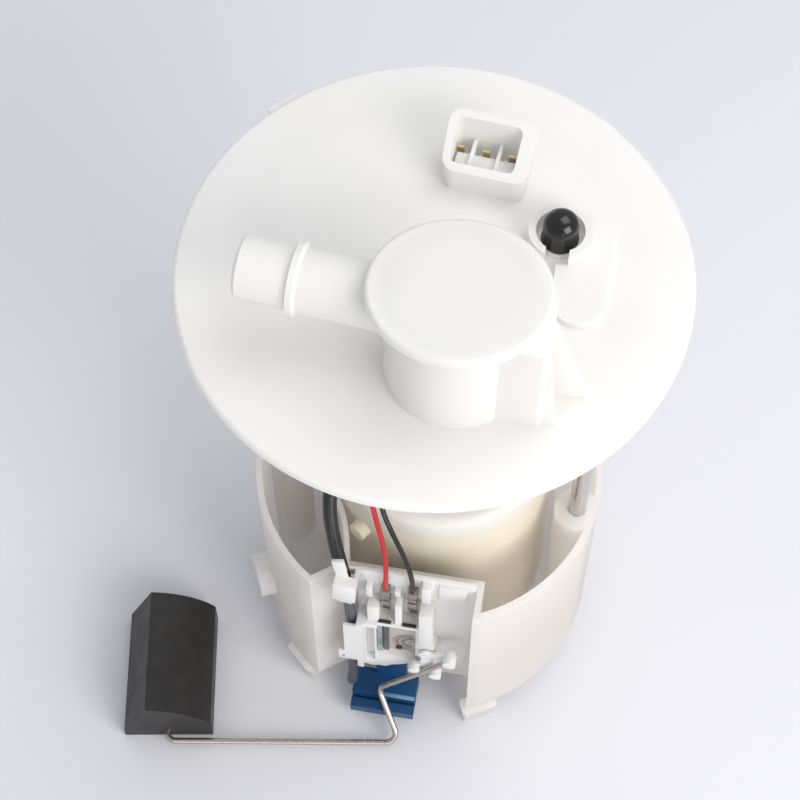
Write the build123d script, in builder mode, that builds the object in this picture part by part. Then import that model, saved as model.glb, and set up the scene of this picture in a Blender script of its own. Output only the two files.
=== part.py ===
from build123d import *
import math
import os

os.makedirs("parts", exist_ok=True)

# An in-tank fuel pump module. Millimetres, +Z up, origin on the floor under the cup's axis.
# X runs along the level sender's plate, which faces -Y.

# Clearances
running_gap = 0.05        # radial, shaft in a hole
seat_gap = 0.1            # between pieces that meet and are not one
soft_gap = 0.3            # between curved faces of different bodies

# Flange
flange_radius = 82.5
flange_thickness = 4.4
flange_top = 235.8        # height of the upper face above the floor
flange_edge_round = 1.6
seat_ring_radius = 67.0
seat_ring_wall = 2.0
seat_ring_depth = 5.0
rim_tab_angle = 136.0
rim_tab_length = 11.0
rim_tab_reach = 2.0
flange_under = flange_top - flange_thickness

# The spout and the connector are turned a little from the sender's plate
top_turn = -5.0

# Turret: round chamber with a square duct beside it
turret_x = 12.2
turret_y = -31.7
turret_radius = 22.5
turret_height = 39.8
turret_wall = 2.4
duct_x = 30.4
duct_y = -37.5
duct_length = 20.8
duct_width = 23.0
duct_corner = 2.0
gusset_thickness = 2.4
gusset_reach = 12.4
side_gusset_reach = 3.8
vent_hole_radius = 6.5
vent_seat_wall = 1.8
vent_seat_depth = 3.0
vent_skirt_radius = 18.6
vent_skirt_wall = 2.0
vent_skirt_depth = 9.0

# Turret cover
cap_half_length = 27.7
cap_half_width = 24.8
cap_thickness = 3.2
cap_turn = 4.0
cap_edge_round = 1.5

# Vent spout
spout_turn = 180.0 + top_turn
spout_rise = 29.0         # axis above the flange
spout_radius = 10.0
spout_bore = 8.0
spout_length = 67.0       # from the turret's axis
bead_place = 49.0
bead_width = 3.6
bead_radius = 11.6
spout_step = 0.4
spout_lead_in = 1.0

# Electrical connector shroud
shroud_x = 11.3
shroud_y = 39.4
shroud_length = 26.5
shroud_width = 16.5
shroud_height = 20.0
shroud_front_height = 11.0
shroud_corner = 3.5
shroud_taper = -3.5
socket_length = 19.5
socket_width = 11.5
socket_shift = -1.2
socket_floor = 2.0
divider_wall = 1.2
divider_height = 8.0
pin_pitch = 8.5
pin_width = 2.3
pin_thickness = 0.8
pin_height = 10.0
pin_tail = 6.0
pin_block_depth = 4.0

# Fuel outlet
outlet_x = 37.5
outlet_y = 17.5
nipple_radius = 4.0
nipple_bore = 2.6
nipple_height = 9.5
nipple_foot_radius = 6.2
nipple_foot_height = 2.0
nipple_tail = 18.0
collar_radius = 10.2
collar_wall = 2.4
collar_height = 7.0
collar_notch = 7.5
hump_length = 22.0
hump_width = 17.0
hump_height = 2.2
hump_shift = 8.5

# Dust cap on the outlet
dust_cap_wall = 1.25
dust_cap_height = 9.2
dust_cap_round = 3.2

# Guide rods, springs and travel
rod_angle = -8.8
rod_circle = 57.3
rod_radius = 3.2
rod_boss_radius = 7.0
rod_boss_depth = 16.0
travel = 30.0
rod_head_radius = 4.3
rod_head_height = 3.0
spring_wire = 0.6
spring_turns = 9

# Reservoir cup
cup_radius = 64.5
cup_wall = 2.2
cup_rim = 103.0
cup_base = 14.0
cup_floor = 2.5
socket_radius = 8.5
socket_bore = 4.6
bush_height = 6.0
bay_left = -35.0
bay_left_y = -54.3
bay_corner = -23.4
bay_right = 25.3
bay_back = -45.6
partition_wall = 1.8
foot_radial = 7.0
foot_width = 14.0
foot_circle = 63.4
foot_valve_x = 4.0
foot_valve_y = 52.0
lug_angle = 206.0
lug_height = 46.0
lug_radius = 8.5
lug_reach = 5.5

# Canister with the filter round the pump
canister_x = 4.0
canister_y = 6.0
canister_radius = 41.5
canister_wall = 2.0
canister_base = 26.0
canister_top = 120.0
canister_core = 20.6
lid_thickness = 9.0
lid_round = 4.0
lid_overhang = 1.0
crown_radius = 15.0
crown_height = 4.0
lid_outlet_x = 22.0
lid_outlet_y = 20.0
lid_outlet_radius = 3.6
lid_outlet_height = 20.0
boss_angle = 235.0
boss_radius = 3.6
boss_height = 101.0
boss_reach = 5.0

# Pump
pump_radius = 19.0
pump_wall = 1.2
pump_base = 30.0
pump_top = 112.0
shaft_radius = 1.6
impeller_radius = 15.0
impeller_thickness = 4.0
impeller_blades = 12
armature_radius = 12.0
armature_length = 30.0
magnet_thickness = 4.2
commutator_radius = 6.5
commutator_length = 10.0

# Level sender
bracket_left = -21.5
bracket_right = 25.0
bracket_bottom = 31.0
bracket_top = 104.5
bracket_thickness = 2.0
bracket_corner = 5.0
housing_left = -17.5
housing_right = 6.0
housing_bottom = 34.0
housing_top = 80.0
housing_depth = 6.0
housing_wall = 1.8
pivot_x = 8.5
pivot_z = 55.0
pivot_radius = 2.5
tower_radius = 5.6

# Float arm
wire_radius = 1.2
wire_plane = -58.3
arm_points = [
    (17.5, wire_plane, 58.0),
    (-9.8, wire_plane, 18.5),
    (1.35, -73.9, 3.2),
    (-89.7, -89.2, 5.0),
]
arm_bends = [4.0, 4.0, 3.0]
float_turn = 10.0         # the float's length from the cup's Y axis
float_length = 50.0
float_width = 35.0
float_height = 27.5
float_side = 12.5
float_rest = 0.2          # bottom of the float above the floor
float_set_in = 22.0
float_ahead = 4.2
swing = 62.0

# Jet pump
jet_left = -20.5
jet_right = 4.8
jet_back = -48.2
jet_front = -59.0
jet_bottom = 4.0
jet_top = 13.0
jet_step_front = -63.8
jet_step_top = 9.0
jet_spigot_radius = 4.0
jet_spigot_x = -6.0
jet_spigot_z = 22.0

# Hoses and leads
sleeve_radius = 3.0
tube_radius = 2.4
lead_radius = 0.95
feed_radius = 5.0


def polar(radius, angle):
    """A point in plan at a radius and an angle in degrees."""
    return (radius * math.cos(math.radians(angle)), radius * math.sin(math.radians(angle)))


def turned(x, y, z, angle):
    """A horizontal plane at a point, with its X axis turned by an angle."""
    return Plane(origin=(x, y, z), x_dir=(*polar(1, angle), 0), z_dir=(0, 0, 1))


def upright(x, y, z, angle):
    """A standing plane at a point: X along an angle in plan, Y up."""
    return Plane(origin=(x, y, z), x_dir=(*polar(1, angle), 0), z_dir=(*polar(1, angle - 90), 0))


def turret_plan(inset):
    """Plan of the turret: a round chamber joined to a square duct."""
    with BuildSketch(Plane.XY.offset(flange_top)) as plan:
        with Locations((turret_x, turret_y)):
            Circle(turret_radius - inset)
        with Locations((duct_x, duct_y)):
            RectangleRounded(duct_length - 2 * inset, duct_width - 2 * inset, duct_corner)
    return plan.sketch


def bends(points):
    """Bend radii of a held tube: as large as the two runs at each point allow."""
    radii = []
    for before, here, after in zip(points, points[1:], points[2:]):
        first = Vector(*here) - Vector(*before)
        second = Vector(*after) - Vector(*here)
        turn = math.radians(first.get_angle(second))
        radii.append(0.45 * min(first.length, second.length) / math.tan(turn / 2))
    return radii


def held_tube(points, radius, bore=0.0, radii=None):
    """A hose or lead along straight runs joined by tangent arcs."""
    with BuildPart() as tube:
        with BuildLine() as route:
            FilletPolyline(*points, radius=radii or bends(points))
        with BuildSketch(Plane(origin=route.line @ 0, z_dir=route.line % 0)):
            Circle(radius)
            if bore:
                Circle(bore, mode=Mode.SUBTRACT)
        sweep(path=route.line)
    return tube


# Flange

with BuildPart() as flange:
    with BuildSketch(Plane.XY.offset(flange_under)):
        Circle(flange_radius)
    extrude(amount=flange_thickness)
    fillet(flange.edges(), flange_edge_round)
    # Tab on the rim that sets the turn of the module in the tank
    with BuildSketch(Plane.XY.offset(flange_under + flange_edge_round)):
        with Locations(Location((*polar(flange_radius - 2, rim_tab_angle), 0), (0, 0, rim_tab_angle))):
            Rectangle(2 * (rim_tab_reach + 2), rim_tab_length)
    extrude(amount=flange_thickness - 2 * flange_edge_round)
    # Ring that centres the flange in the tank's mouth
    with BuildSketch(Plane.XY.offset(flange_under)):
        Circle(seat_ring_radius)
        Circle(seat_ring_radius - seat_ring_wall, mode=Mode.SUBTRACT)
    extrude(amount=-seat_ring_depth)
    # Turret walls
    extrude(turret_plan(0), amount=turret_height)
    # Spout, turned in one profile with its bead and lead-in
    with BuildSketch(upright(turret_x, turret_y, flange_top + spout_rise, spout_turn)) as spout_profile:
        with BuildLine():
            Polyline(
                (0, 0),
                (0, spout_radius + spout_step),
                (bead_place - bead_width / 2, spout_radius + spout_step),
                (bead_place - bead_width / 4, bead_radius),
                (bead_place + bead_width / 4, bead_radius),
                (bead_place + bead_width / 2, spout_radius),
                (spout_length - spout_lead_in, spout_radius),
                (spout_length, spout_radius - spout_lead_in),
                (spout_length, 0),
                close=True,
            )
        make_face()
    spout_axis = Axis((turret_x, turret_y, flange_top + spout_rise), (*polar(1, spout_turn), 0))
    revolve(axis=spout_axis)
    # Hollow of the turret and the spout's bore
    extrude(turret_plan(turret_wall), amount=turret_height, mode=Mode.SUBTRACT)
    with BuildSketch(Plane(origin=spout_axis.position, z_dir=spout_axis.direction)):
        Circle(spout_bore)
    extrude(amount=spout_length, mode=Mode.SUBTRACT)
    # Gussets from the duct's side down to the plate
    with BuildSketch(upright(duct_x + duct_length / 2 - 1, -36.0, flange_top, 0)):
        with BuildLine():
            Polyline((0, 0), (gusset_reach + 1, 0), (1.6, turret_height - 2), (0, turret_height - 2), close=True)
        make_face()
    extrude(amount=gusset_thickness / 2, both=True)
    with BuildSketch(upright(duct_x + duct_length / 2 - 1, duct_y - duct_width / 2 + 2.4, flange_top, 0)):
        with BuildLine():
            Polyline((0, 0), (side_gusset_reach + 1, 0), (1.4, turret_height), (0, turret_height), close=True)
        make_face()
    extrude(amount=gusset_thickness / 2, both=True)
    # Connector shroud with a mouth that slopes to the front
    shroud_plane = turned(shroud_x, shroud_y, flange_top, top_turn)
    with BuildSketch(shroud_plane):
        RectangleRounded(shroud_length, shroud_width, shroud_corner)
    extrude(amount=shroud_height, taper=shroud_taper)
    with BuildSketch(shroud_plane.offset(socket_floor)):
        with Locations((socket_shift, 0)):
            RectangleRounded(socket_length, socket_width, 1.2)
    extrude(amount=shroud_height, taper=shroud_taper, mode=Mode.SUBTRACT)
    with BuildSketch(shroud_plane.offset(socket_floor)):
        with Locations((socket_shift - pin_pitch / 2, 0), (socket_shift + pin_pitch / 2, 0)):
            Rectangle(divider_wall, socket_width)
    extrude(amount=divider_height)
    with BuildSketch(upright(shroud_x, shroud_y, flange_top, top_turn - 90)):
        with BuildLine():
            Polyline(
                (-shroud_width, shroud_height),
                (-shroud_width / 2, shroud_height),
                (shroud_width / 2 + 1, shroud_front_height),
                (shroud_width, shroud_front_height),
                (shroud_width, 2 * shroud_height),
                (-shroud_width, 2 * shroud_height),
                close=True,
            )
        make_face()
    extrude(amount=shroud_length, both=True, mode=Mode.SUBTRACT)
    # Block under the connector that the terminals are moulded in
    with BuildSketch(turned(shroud_x, shroud_y, flange_under, top_turn)):
        RectangleRounded(socket_length + 4, socket_width, 2)
    extrude(amount=-pin_block_depth)
    # Collar, hump and nipple of the fuel outlet
    with BuildSketch(Plane.XY.offset(flange_top)):
        with Locations((outlet_x + hump_shift, outlet_y - hump_length / 2)):
            SlotOverall(hump_length + hump_width, hump_width, rotation=90)
    extrude(amount=hump_height)
    with BuildSketch(Plane.XY.offset(flange_top)):
        with Locations((outlet_x, outlet_y)):
            Circle(collar_radius - 0.5)
    extrude(amount=collar_height, mode=Mode.SUBTRACT)
    with BuildSketch(Plane.XY.offset(flange_top)):
        with Locations((outlet_x, outlet_y)):
            Circle(collar_radius)
            Circle(collar_radius - collar_wall, mode=Mode.SUBTRACT)
        with Locations((outlet_x, outlet_y - collar_radius)):
            Rectangle(collar_notch, collar_radius, mode=Mode.SUBTRACT)
    extrude(amount=collar_height)
    with BuildSketch(Plane.XY.offset(flange_top)):
        with Locations((outlet_x, outlet_y)):
            Circle(nipple_foot_radius)
    extrude(amount=nipple_foot_height)
    with BuildSketch(Plane.XY.offset(flange_under - nipple_tail)):
        with Locations((outlet_x, outlet_y)):
            Circle(nipple_radius)
    extrude(amount=nipple_tail + flange_thickness + nipple_height)
    # Bosses that hold the guide rods
    with BuildSketch(Plane.XY.offset(flange_under)):
        with PolarLocations(rod_circle, 2, start_angle=rod_angle):
            Circle(rod_boss_radius)
    extrude(amount=-rod_boss_depth)
    # Skirt that holds the vent valve's cage
    with BuildSketch(Plane.XY.offset(flange_under)):
        with Locations((turret_x, turret_y)):
            Circle(vent_skirt_radius)
            Circle(vent_skirt_radius - vent_skirt_wall, mode=Mode.SUBTRACT)
    extrude(amount=-vent_skirt_depth)
    with BuildSketch(Plane.XY.offset(flange_under)):
        with Locations((turret_x, turret_y)):
            Circle(vent_hole_radius + vent_seat_wall)
    extrude(amount=-vent_seat_depth)
    # Bores
    with Locations((turret_x, turret_y, flange_top)):
        Hole(vent_hole_radius, depth=flange_thickness + vent_seat_depth)
    with Locations((outlet_x, outlet_y, flange_top + nipple_height)):
        Hole(nipple_bore, depth=nipple_height + flange_thickness + nipple_tail)
    with BuildSketch(Plane.XY.offset(flange_under - rod_boss_depth)):
        with PolarLocations(rod_circle, 2, start_angle=rod_angle):
            Circle(rod_radius)
    extrude(amount=rod_boss_depth, mode=Mode.SUBTRACT)
    # Slots for the terminals
    with BuildSketch(turned(shroud_x, shroud_y, flange_under - pin_block_depth, top_turn)):
        with Locations((socket_shift, 2)):
            with GridLocations(pin_pitch, 1, 3, 1):
                Rectangle(pin_width, pin_thickness)
    extrude(amount=pin_block_depth + flange_thickness + socket_floor, mode=Mode.SUBTRACT)

with BuildPart() as turret_cap:
    with BuildSketch(turned(turret_x, turret_y, flange_top + turret_height, cap_turn)):
        Ellipse(cap_half_length, cap_half_width)
    extrude(amount=cap_thickness)
    fillet(turret_cap.edges().sort_by(Axis.Z)[-1], cap_edge_round)

with BuildPart() as connector_pins:
    with BuildSketch(turned(shroud_x, shroud_y, flange_under - pin_tail, top_turn)):
        with Locations((socket_shift, 2)):
            with GridLocations(pin_pitch, 1, 3, 1):
                Rectangle(pin_width, pin_thickness)
    extrude(amount=pin_tail + flange_thickness + pin_height)

with BuildPart() as dust_cap:
    with BuildSketch(Plane.XY.offset(flange_top + nipple_foot_height + seat_gap)):
        with Locations((outlet_x, outlet_y)):
            Circle(nipple_radius + running_gap + dust_cap_wall)
    extrude(amount=dust_cap_height)
    fillet(dust_cap.edges().sort_by(Axis.Z)[-1], dust_cap_round)
    with BuildSketch(Plane.XY.offset(flange_top + nipple_foot_height + seat_gap)):
        with Locations((outlet_x, outlet_y)):
            Circle(nipple_radius + running_gap)
    extrude(amount=nipple_height - nipple_foot_height, mode=Mode.SUBTRACT)

# Vent valve under the turret
cage_radius = vent_skirt_radius - vent_skirt_wall - seat_gap
cage_wall = 1.8
cage_depth = 34.0
cage_floor = 2.0
vent_float_radius = 11.5
vent_stem_radius = 2.5
vent_lift = 4.0
vent_seal_radius = 9.0
vent_seal_thickness = 1.5
vent_seat_face = flange_under - vent_seat_depth
vent_seal_top = vent_seat_face - vent_lift - soft_gap
vent_float_top = vent_seal_top - vent_seal_thickness
vent_float_base = flange_under - cage_depth + cage_floor + seat_gap
vent_float_height = vent_float_top - vent_float_base

with BuildPart() as vent_cage:
    with BuildSketch(Plane.XY.offset(flange_under)):
        with Locations((turret_x, turret_y)):
            Circle(cage_radius)
    extrude(amount=-cage_depth)
    with BuildSketch(Plane.XY.offset(flange_under)):
        with Locations((turret_x, turret_y)):
            Circle(cage_radius - cage_wall)
    extrude(amount=cage_floor - cage_depth, mode=Mode.SUBTRACT)
    # Fuel windows round the wall
    with BuildSketch(Plane.XY.offset(flange_under - cage_depth + cage_floor + 3)):
        with Locations((turret_x, turret_y)):
            Rectangle(3 * cage_radius, 7)
            Rectangle(7, 3 * cage_radius)
    extrude(amount=14, mode=Mode.SUBTRACT)
    # Stem that guides the float
    with BuildSketch(Plane.XY.offset(flange_under - cage_depth)):
        with Locations((turret_x, turret_y)):
            Circle(vent_stem_radius)
    extrude(amount=14)

with BuildPart() as vent_float:
    with BuildSketch(Plane.XY.offset(vent_float_base)):
        with Locations((turret_x, turret_y)):
            Circle(vent_float_radius)
    extrude(amount=vent_float_height)
    with BuildSketch(Plane.XY.offset(vent_float_base)):
        with Locations((turret_x, turret_y)):
            Circle(vent_stem_radius + running_gap)
    extrude(amount=vent_float_height - 5, mode=Mode.SUBTRACT)

with BuildPart() as vent_seal:
    with BuildSketch(Plane.XY.offset(vent_float_top)):
        with Locations((turret_x, turret_y)):
            Circle(vent_seal_radius)
    extrude(amount=vent_seal_thickness)

# Guide rods with their heads and springs
rod_places = {"left": rod_angle + 180, "right": rod_angle}
bush_base = cup_rim - bush_height
rod_foot = bush_base - seat_gap - rod_head_height
socket_floor_z = cup_base + cup_floor + 2
guides = {}
for side, angle in rod_places.items():
    rod_x, rod_y = polar(rod_circle, angle)
    with BuildPart() as rod:
        with BuildSketch(Plane.XY.offset(rod_foot)):
            with Locations((rod_x, rod_y)):
                Circle(rod_radius)
        extrude(amount=flange_under - rod_foot - seat_gap)
        with BuildSketch(Plane.XY.offset(rod_foot)):
            with Locations((rod_x, rod_y)):
                Circle(rod_head_radius)
        extrude(amount=rod_head_height)
    with BuildPart() as bush:
        with BuildSketch(Plane.XY.offset(bush_base)):
            with Locations((rod_x, rod_y)):
                Circle(socket_bore)
                Circle(rod_radius + running_gap, mode=Mode.SUBTRACT)
        extrude(amount=bush_height)
    spring_length = rod_foot - socket_floor_z - 2 * spring_wire - seat_gap
    with BuildPart() as spring:
        with BuildLine():
            coil = Helix(
                pitch=spring_length / spring_turns,
                height=spring_length,
                radius=rod_radius,
                center=(rod_x, rod_y, socket_floor_z + spring_wire),
            )
        with BuildSketch(Plane(origin=coil @ 0, z_dir=coil % 0)):
            Circle(spring_wire)
        sweep(path=coil)
    guides[f"guide_rod_{side}"] = rod
    guides[f"rod_bush_{side}"] = bush
    guides[f"spring_{side}"] = spring

# Reservoir cup


def cup_plan(height):
    """Plan of the cup: a circle with the sender's bay cut into its front."""
    with BuildSketch(Plane.XY.offset(height)) as plan:
        Circle(cup_radius)
        with BuildLine():
            Polyline(
                (bay_left, bay_left_y),
                (bay_corner, bay_back),
                (bay_right, bay_back),
                (bay_right, -2 * cup_radius),
                (bay_left, -2 * cup_radius),
                close=True,
            )
        make_face(mode=Mode.SUBTRACT)
    return plan.sketch


with BuildPart() as reservoir_cup:
    extrude(cup_plan(cup_base), amount=cup_rim - cup_base)
    with BuildSketch(Plane.XY.offset(cup_base + cup_floor)):
        add(cup_plan(cup_base + cup_floor))
        offset(amount=-cup_wall, kind=Kind.INTERSECTION, mode=Mode.REPLACE)
    extrude(amount=cup_rim, mode=Mode.SUBTRACT)
    # Inner partition beside the hose
    with BuildSketch(Plane.XY.offset(cup_base + cup_floor)):
        with BuildLine():
            ThreePointArc((bay_corner, bay_back + 1), (-25.8, -31.0), (-33.5, -15.5))
        trace(line_width=partition_wall)
    extrude(amount=cup_rim - cup_base - cup_floor)
    # Sockets that take the guide rods and their springs
    with BuildSketch(Plane.XY.offset(cup_base)):
        with PolarLocations(rod_circle, 2, start_angle=rod_angle):
            Circle(socket_radius)
        Circle(cup_radius, mode=Mode.INTERSECT)
    extrude(amount=cup_rim - cup_base)
    with BuildSketch(Plane.XY.offset(socket_floor_z)):
        with PolarLocations(rod_circle, 2, start_angle=rod_angle):
            Circle(socket_bore)
    extrude(amount=cup_rim, mode=Mode.SUBTRACT)
    # Ring that the canister stands on
    with BuildSketch(Plane.XY.offset(cup_base + cup_floor)):
        with Locations((canister_x, canister_y)):
            Circle(canister_radius - 4)
            Circle(canister_radius - 6, mode=Mode.SUBTRACT)
            Rectangle(3 * canister_radius, 24, mode=Mode.SUBTRACT)
    extrude(amount=canister_base - cup_base - cup_floor)
    # Feet
    with BuildSketch(Plane.XY):
        for foot_angle in (228.0, 298.0, 60.0, 120.0):
            with Locations(Location((*polar(foot_circle, foot_angle), 0), (0, 0, foot_angle))):
                RectangleRounded(foot_radial, foot_width, 1.5)
    extrude(amount=cup_base)
    # Lug on the outside
    lug_foot = polar(cup_radius - cup_wall / 2, lug_angle)
    with BuildSketch(Plane(origin=(*lug_foot, lug_height), z_dir=(*polar(1, lug_angle), 0))):
        Circle(lug_radius)
    extrude(amount=lug_reach + cup_wall / 2)
    # Hole of the foot valve, and the jet pump's hole in the bay's wall
    with Locations((foot_valve_x, foot_valve_y, cup_base + cup_floor)):
        Hole(4.0, depth=cup_floor)
    with BuildSketch(Plane.XZ.offset(-bay_back)):
        with Locations((jet_spigot_x, jet_spigot_z)):
            Circle(jet_spigot_radius + seat_gap)
    extrude(amount=-cup_wall, mode=Mode.SUBTRACT)

with BuildPart() as foot_valve:
    with BuildSketch(Plane.XY.offset(cup_base + cup_floor)):
        with Locations((foot_valve_x, foot_valve_y)):
            Circle(7.5)
    extrude(amount=1.2)
    with BuildSketch(Plane.XY.offset(cup_base - 1.5)):
        with Locations((foot_valve_x, foot_valve_y)):
            Circle(3.8)
    extrude(amount=cup_floor + 1.5)

# Canister, filter and lid
with BuildPart() as filter_canister:
    with BuildSketch(Plane.XY.offset(canister_base)):
        with Locations((canister_x, canister_y)):
            Circle(canister_radius)
    extrude(amount=canister_top - canister_base)
    with BuildSketch(Plane.XY.offset(canister_base + canister_wall)):
        with Locations((canister_x, canister_y)):
            Circle(canister_radius - canister_wall)
            Circle(canister_core, mode=Mode.SUBTRACT)
    extrude(amount=canister_top, mode=Mode.SUBTRACT)
    with BuildSketch(Plane.XY.offset(canister_base)):
        with Locations((canister_x, canister_y)):
            Circle(pump_radius + seat_gap)
    extrude(amount=canister_top, mode=Mode.SUBTRACT)
    # Small boss on the left front
    boss_foot = polar(canister_radius - 1, boss_angle)
    with BuildSketch(
        Plane(
            origin=(canister_x + boss_foot[0], canister_y + boss_foot[1], boss_height),
            z_dir=(*polar(1, boss_angle), 0),
        )
    ):
        Circle(boss_radius)
    extrude(amount=boss_reach)

with BuildPart() as filter_element:
    with BuildSketch(Plane.XY.offset(canister_base + canister_wall + seat_gap)):
        with Locations((canister_x, canister_y)):
            Circle(canister_radius - canister_wall - 2)
            Circle(canister_core + 2, mode=Mode.SUBTRACT)
    extrude(amount=canister_top - canister_base - canister_wall - 2 * seat_gap)

with BuildPart() as canister_lid:
    with BuildSketch(Plane.XY.offset(canister_top)):
        with Locations((canister_x, canister_y)):
            Circle(canister_radius + lid_overhang)
    extrude(amount=lid_thickness)
    fillet(canister_lid.edges().sort_by(Axis.Z)[-1], lid_round)
    # Raised crown over the pump, and the fuel outlet
    with BuildSketch(Plane.XY.offset(canister_top + lid_thickness)):
        with Locations((canister_x, canister_y)):
            Circle(crown_radius)
    extrude(amount=crown_height)
    with BuildSketch(Plane.XY.offset(canister_top + lid_thickness)):
        with Locations((lid_outlet_x, lid_outlet_y)):
            Circle(lid_outlet_radius)
    extrude(amount=lid_outlet_height)

# Pump
case_bore = pump_radius - pump_wall
inlet_top = pump_base + 12.0
plate_top = inlet_top + impeller_thickness + 2 * running_gap + 5.0
outlet_base = pump_top - 20.0
with BuildPart() as pump_case:
    with BuildSketch(Plane.XY.offset(pump_base)):
        with Locations((canister_x, canister_y)):
            Circle(pump_radius)
            Circle(case_bore, mode=Mode.SUBTRACT)
    extrude(amount=pump_top - pump_base)

with BuildPart() as pump_inlet_cover:
    with BuildSketch(Plane.XY.offset(pump_base + 0.5)):
        with Locations((canister_x, canister_y)):
            Circle(case_bore)
    extrude(amount=inlet_top - pump_base - 0.5)
    with BuildSketch(Plane.XY.offset(pump_base - 6)):
        with Locations((canister_x + 8, canister_y)):
            Circle(5)
    extrude(amount=6.5)
    with Locations((canister_x, canister_y, inlet_top)):
        Hole(shaft_radius + running_gap, depth=4)
    with Locations((canister_x + 8, canister_y, inlet_top)):
        Hole(3, depth=30)

impeller_base = inlet_top + running_gap
with BuildPart() as impeller:
    with BuildSketch(Plane.XY.offset(impeller_base)):
        with Locations((canister_x, canister_y)):
            Circle(impeller_radius)
            with PolarLocations(impeller_radius, impeller_blades):
                Rectangle(5, 3.6, mode=Mode.SUBTRACT)
            Circle(shaft_radius, mode=Mode.SUBTRACT)
    extrude(amount=impeller_thickness)

with BuildPart() as pump_chamber:
    with BuildSketch(Plane.XY.offset(inlet_top)):
        with Locations((canister_x, canister_y)):
            Circle(case_bore)
    extrude(amount=plate_top - inlet_top)
    with BuildSketch(Plane.XY.offset(inlet_top)):
        with Locations((canister_x, canister_y)):
            Circle(impeller_radius + 4 * running_gap)
    extrude(amount=impeller_thickness + 2 * running_gap, mode=Mode.SUBTRACT)
    with Locations((canister_x, canister_y, plate_top)):
        Hole(shaft_radius + running_gap, depth=10)

with BuildPart() as pump_outlet_cover:
    with BuildSketch(Plane.XY.offset(outlet_base)):
        with Locations((canister_x, canister_y)):
            Circle(case_bore)
    extrude(amount=pump_top - outlet_base)
    with BuildSketch(Plane.XY.offset(outlet_base)):
        with Locations((canister_x, canister_y)):
            Circle(12)
    extrude(amount=14, mode=Mode.SUBTRACT)
    with Locations((canister_x, canister_y, outlet_base + 18)):
        Hole(shaft_radius + running_gap, depth=5)

with BuildPart() as pump_magnets:
    with BuildSketch(Plane.XY.offset(plate_top + 1)):
        with Locations((canister_x, canister_y)):
            Circle(case_bore)
            Circle(case_bore - magnet_thickness, mode=Mode.SUBTRACT)
            Rectangle(10, 3 * case_bore, mode=Mode.SUBTRACT)
    extrude(amount=outlet_base - plate_top - 2)

armature_base = plate_top + 4
commutator_base = outlet_base + 2
with BuildPart() as armature:
    with BuildSketch(Plane.XY.offset(armature_base)):
        with Locations((canister_x, canister_y)):
            Circle(armature_radius)
            with PolarLocations(armature_radius, 8):
                Rectangle(4, 2, mode=Mode.SUBTRACT)
            Circle(shaft_radius, mode=Mode.SUBTRACT)
    extrude(amount=armature_length)

with BuildPart() as commutator:
    with BuildSketch(Plane.XY.offset(commutator_base)):
        with Locations((canister_x, canister_y)):
            Circle(commutator_radius)
            Circle(shaft_radius, mode=Mode.SUBTRACT)
    extrude(amount=commutator_length)

with BuildPart() as rotor_shaft:
    with BuildSketch(Plane.XY.offset(inlet_top - 3.5)):
        with Locations((canister_x, canister_y)):
            Circle(shaft_radius)
    extrude(amount=outlet_base + 17 - inlet_top + 3.5)

with BuildPart() as brushes:
    with BuildSketch(Plane.XY.offset(commutator_base + 2)):
        for side_sign in (-1, 1):
            with Locations((canister_x + side_sign * (commutator_radius + running_gap + 2.6), canister_y)):
                Rectangle(5.2, 4)
    extrude(amount=6)

with BuildPart() as suction_strainer:
    with BuildSketch(Plane.XY.offset(cup_base + cup_floor + 0.5)):
        with Locations((canister_x + 2, canister_y)):
            RectangleRounded(44, 22, 6)
    extrude(amount=pump_base - 6 - cup_base - cup_floor - 0.5)

# Pressure regulator on the lid
regulator_x = -17.0
regulator_y = -11.0
regulator_base = canister_top + lid_thickness
with BuildPart() as pressure_regulator:
    with BuildSketch(Plane.XY.offset(regulator_base)):
        with Locations((regulator_x, regulator_y)):
            Circle(10.5)
    extrude(amount=17)
    fillet(pressure_regulator.edges().sort_by(Axis.Z)[-1], 2)

# Level sender
bracket_back = bay_back - seat_gap
bracket_face = bracket_back - bracket_thickness
with BuildPart() as sender_bracket:
    with BuildSketch(Plane.XZ.offset(-bracket_back)):
        with Locations(((bracket_left + bracket_right) / 2, (bracket_bottom + bracket_top) / 2)):
            RectangleRounded(bracket_right - bracket_left, bracket_top - bracket_bottom, bracket_corner)
    extrude(amount=bracket_thickness)

housing_back = bracket_face
housing_front = housing_back - housing_depth
with BuildPart() as sender_housing:
    with BuildSketch(Plane.XZ.offset(-housing_back)):
        with Locations(((housing_left + housing_right) / 2, (housing_bottom + housing_top) / 2)):
            RectangleRounded(housing_right - housing_left, housing_top - housing_bottom, 1.5)
        with Locations(((housing_right + 14) / 2, 60)):
            Rectangle(14 - housing_right + 4, 34)
    extrude(amount=housing_depth)
    with BuildSketch(Plane.XZ.offset(-housing_front)):
        with Locations((-2.0, 56)):
            Rectangle(15, 30)
    extrude(amount=-(housing_depth - housing_wall), mode=Mode.SUBTRACT)
    # Bearing tower of the float arm
    with BuildSketch(Plane.XZ.offset(-housing_front)):
        with Locations((pivot_x, pivot_z)):
            Circle(tower_radius)
    extrude(amount=1.0)
    with BuildSketch(Plane.XZ.offset(-housing_front + 1.0)):
        with Locations((pivot_x, pivot_z)):
            Circle(pivot_radius + running_gap)
    extrude(amount=-(housing_depth - 0.5), mode=Mode.SUBTRACT)

card_back = housing_back - housing_wall
with BuildPart() as resistor_card:
    with BuildSketch(Plane.XZ.offset(-card_back)):
        with Locations((-2.0, 56)):
            Rectangle(14.6, 29.6)
    extrude(amount=0.8)

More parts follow.
